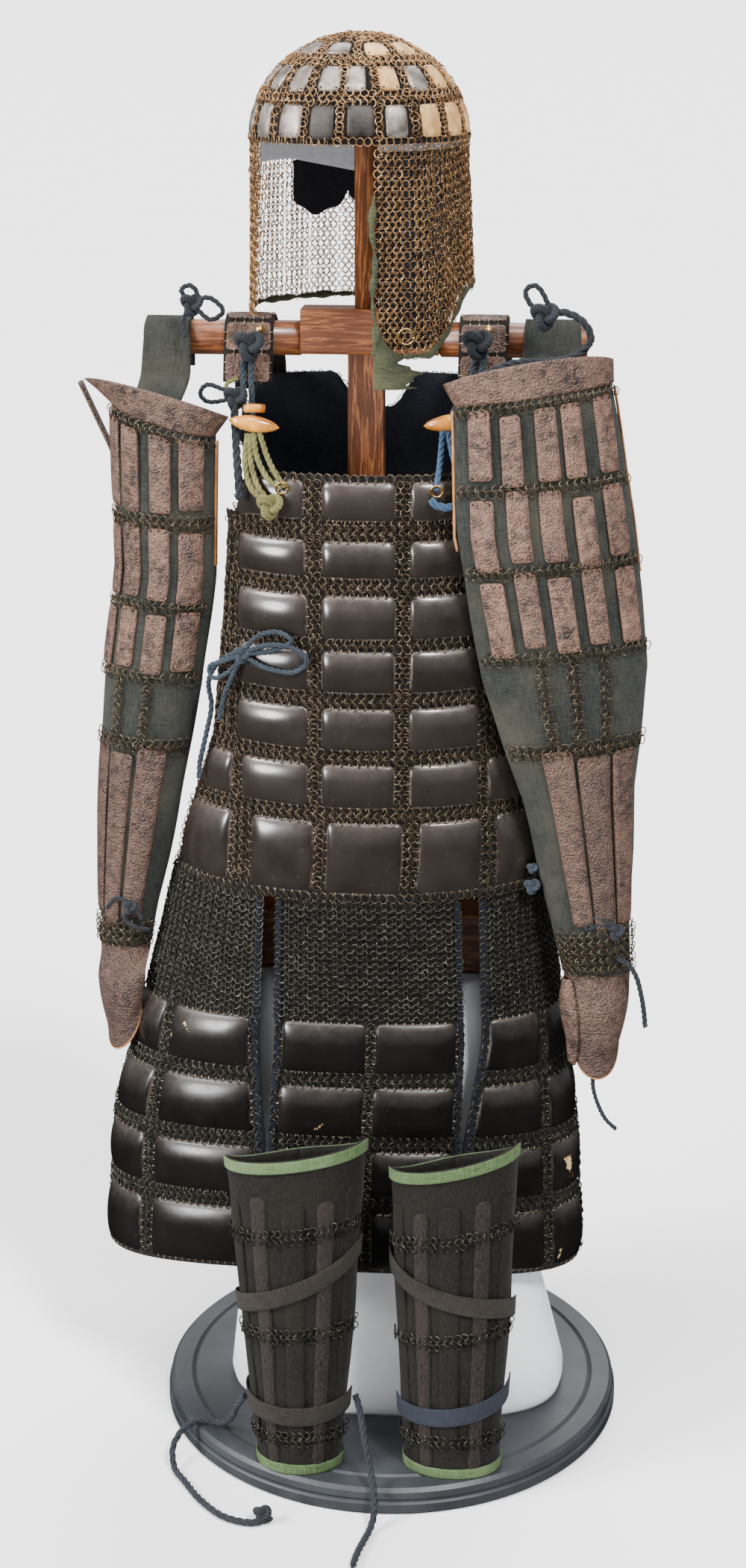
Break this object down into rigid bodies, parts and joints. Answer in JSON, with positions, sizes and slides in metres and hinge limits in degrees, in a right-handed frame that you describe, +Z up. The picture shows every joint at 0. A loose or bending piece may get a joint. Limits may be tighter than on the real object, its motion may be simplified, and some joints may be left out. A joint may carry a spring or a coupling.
{
  "type": "samurai armour on a display stand",
  "caption": "Samurai armour of lacquered plates and mail on cloth: hood, cuirass with skirt, sleeves and shin guards, hung on a wooden stand with a round foot.",
  "frame": {"origin": "middle of the underside of the stand's round foot, on the surface that it stands on", "axes": "+Z up, the armour faces -Y, +X is the viewer's right and the wearer's left"},
  "size_m": [0.6207, 0.6295, 1.543],
  "materials": {
    "foot_paint": "satin dark grey paint",
    "plinth": "matt pale grey paint",
    "wood": "warm brown stain with a satin varnish",
    "lacquer_and_mail": "worn dark brown lacquer plates joined by blackened mail",
    "rough_lacquer": "rough reddish brown lacquer",
    "hood_plates": "old rusty steel plates on mail",
    "mail": "old brown iron rings",
    "navy_cloth": "dark navy plain weave",
    "grey_lining": "pale grey plain weave",
    "hemp_cloth": "dark grey-green hemp with an open weave",
    "horn": "polished amber horn",
    "green_binding": "faded green braid",
    "crepe_cloth": "dark brown-grey crepe",
    "cloth_tape": "brown-grey woven tape",
    "braided_cord": "dark blue braided cord"
  },
  "bodies": {
    "root": {"base_disc": "foot_paint", "plinth": "plinth", "hip_board": "wood", "pole_lower": "wood", "shoulder_block": "wood", "shoulder_bar_left": "wood", "shoulder_bar_right": "wood", "head_post": "wood", "cuirass_front": "lacquer_and_mail", "cuirass_back": "lacquer_and_mail", "back_lining": "navy_cloth", "strap_left": "rough_lacquer", "strap_right": "rough_lacquer", "toggle_left": "horn", "toggle_right": "horn", "cord_shoulder_left": "braided_cord", "cord_shoulder_right": "braided_cord", "skirt_front_middle": "lacquer_and_mail", "skirt_front_left": "lacquer_and_mail", "skirt_front_right": "lacquer_and_mail", "skirt_back_middle": "lacquer_and_mail", "skirt_back_left": "lacquer_and_mail", "skirt_back_right": "lacquer_and_mail", "slit_binding_front_left": "navy_cloth", "slit_binding_front_right": "navy_cloth", "slit_binding_back_left": "navy_cloth", "slit_binding_back_right": "navy_cloth", "hood_crown": "hood_plates", "hood_lining": "grey_lining", "hood_rag": "navy_cloth", "curtain_right": "mail", "curtain_left": "mail", "curtain_binding": "hemp_cloth", "sleeve_left": "hemp_cloth", "collar_left": "rough_lacquer", "flap_left": "hemp_cloth", "hand_guard_left": "rough_lacquer", "sleeve_right": "hemp_cloth", "collar_right": "rough_lacquer", "flap_right": "hemp_cloth", "hand_guard_right": "rough_lacquer", "loose_splint": "rough_lacquer", "thumb_piece": "rough_lacquer", "guard_left": "crepe_cloth", "guard_left_top_binding": "green_binding", "guard_left_foot_binding": "green_binding", "guard_right": "crepe_cloth", "guard_right_top_binding": "green_binding", "guard_right_foot_binding": "green_binding", "tape_left_upper": "cloth_tape", "tape_left_lower": "cloth_tape", "tape_right_upper": "cloth_tape", "tape_right_lower": "cloth_tape", "cord_floor_left": "braided_cord", "cord_floor_middle": "braided_cord", "cord_side_left": "braided_cord", "cord_wrist_right": "braided_cord", "cord_hand_right": "braided_cord"}
  },
  "joints": []
}
